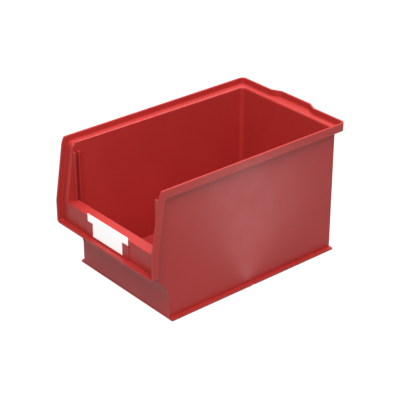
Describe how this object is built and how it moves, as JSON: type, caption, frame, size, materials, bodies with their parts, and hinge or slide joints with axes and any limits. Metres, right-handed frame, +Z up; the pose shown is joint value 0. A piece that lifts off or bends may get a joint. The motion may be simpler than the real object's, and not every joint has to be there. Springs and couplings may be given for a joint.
{
  "type": "stackable storage bin",
  "caption": "Open-fronted plastic storage bin that stacks, with a sloped front frame, a hang tab at the back and a slide-in paper label card.",
  "frame": {"origin": "on the ground, under the middle of the bin's bounding box", "axes": "X across the bin, -Y out through the open front, +Y towards the hang tab, +Z up"},
  "size_m": [0.21, 0.3432, 0.197],
  "materials": {
    "moulding": "satin injection-moulded polypropylene, red",
    "label_paper": "matt white card"
  },
  "bodies": {
    "bin": {"bin_body": "moulding"},
    "label": {"label_card": "label_paper"}
  },
  "joints": [
    {"name": "label_lift", "type": "slide", "parent": "bin", "child": "label", "axis": [0, 0, 1], "range_m": [0, 0.035]}
  ]
}
